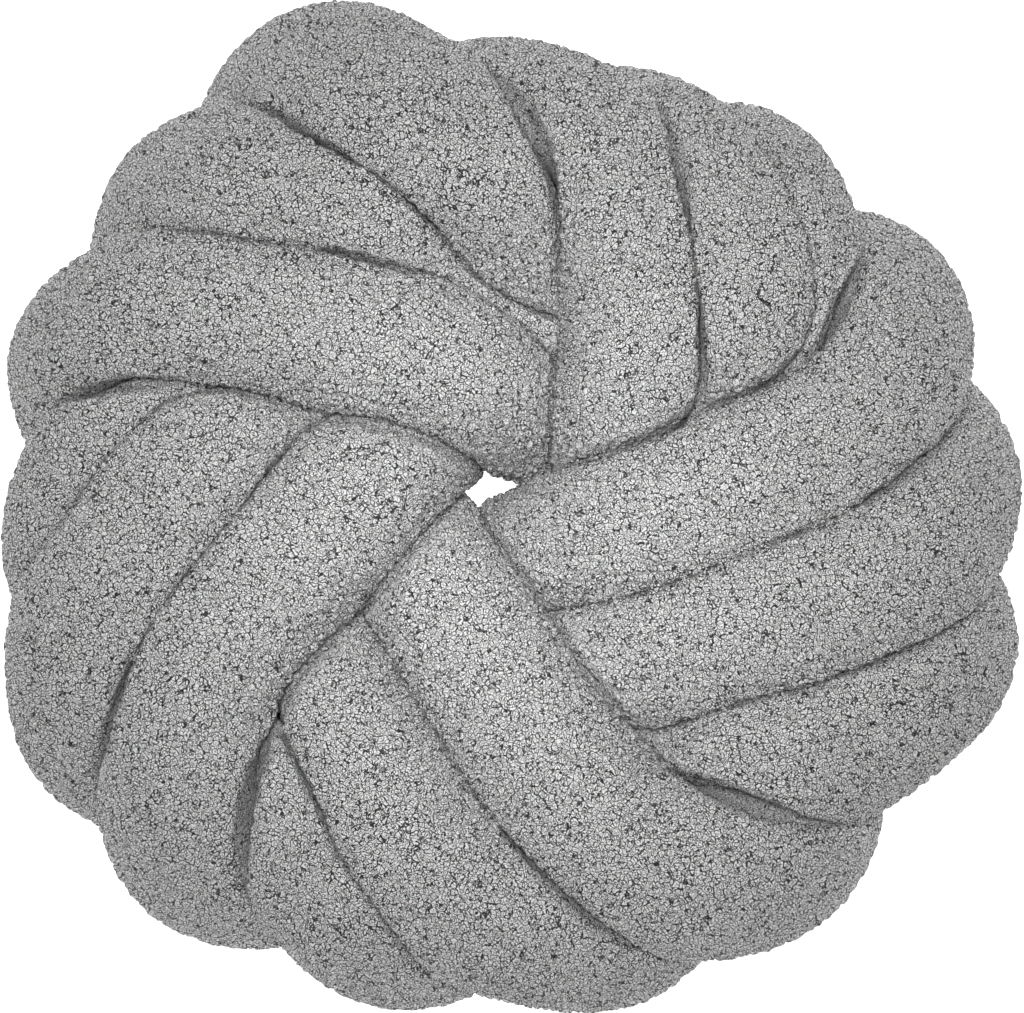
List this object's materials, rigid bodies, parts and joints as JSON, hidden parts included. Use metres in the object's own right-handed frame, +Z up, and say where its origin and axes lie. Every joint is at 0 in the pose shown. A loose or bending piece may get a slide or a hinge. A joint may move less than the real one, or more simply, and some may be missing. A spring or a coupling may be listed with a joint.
{
  "type": "knot cushion",
  "caption": "Round flat cushion made from a long stuffed fabric tube woven into a pinwheel knot, with a lobed rim, a crowned face and a small hole at its middle",
  "frame": {"origin": "the middle of the cushion's outline, on the surface that it lies on", "axes": "+Z is up through the hole, square to the face; +Y is the top of the face as it is usually shown"},
  "size_m": [0.3576, 0.3556, 0.1218],
  "materials": {
    "boucle": "curly grey boucle cloth, matt"
  },
  "bodies": {
    "root": {"knotted_tube": "boucle"}
  },
  "joints": []
}
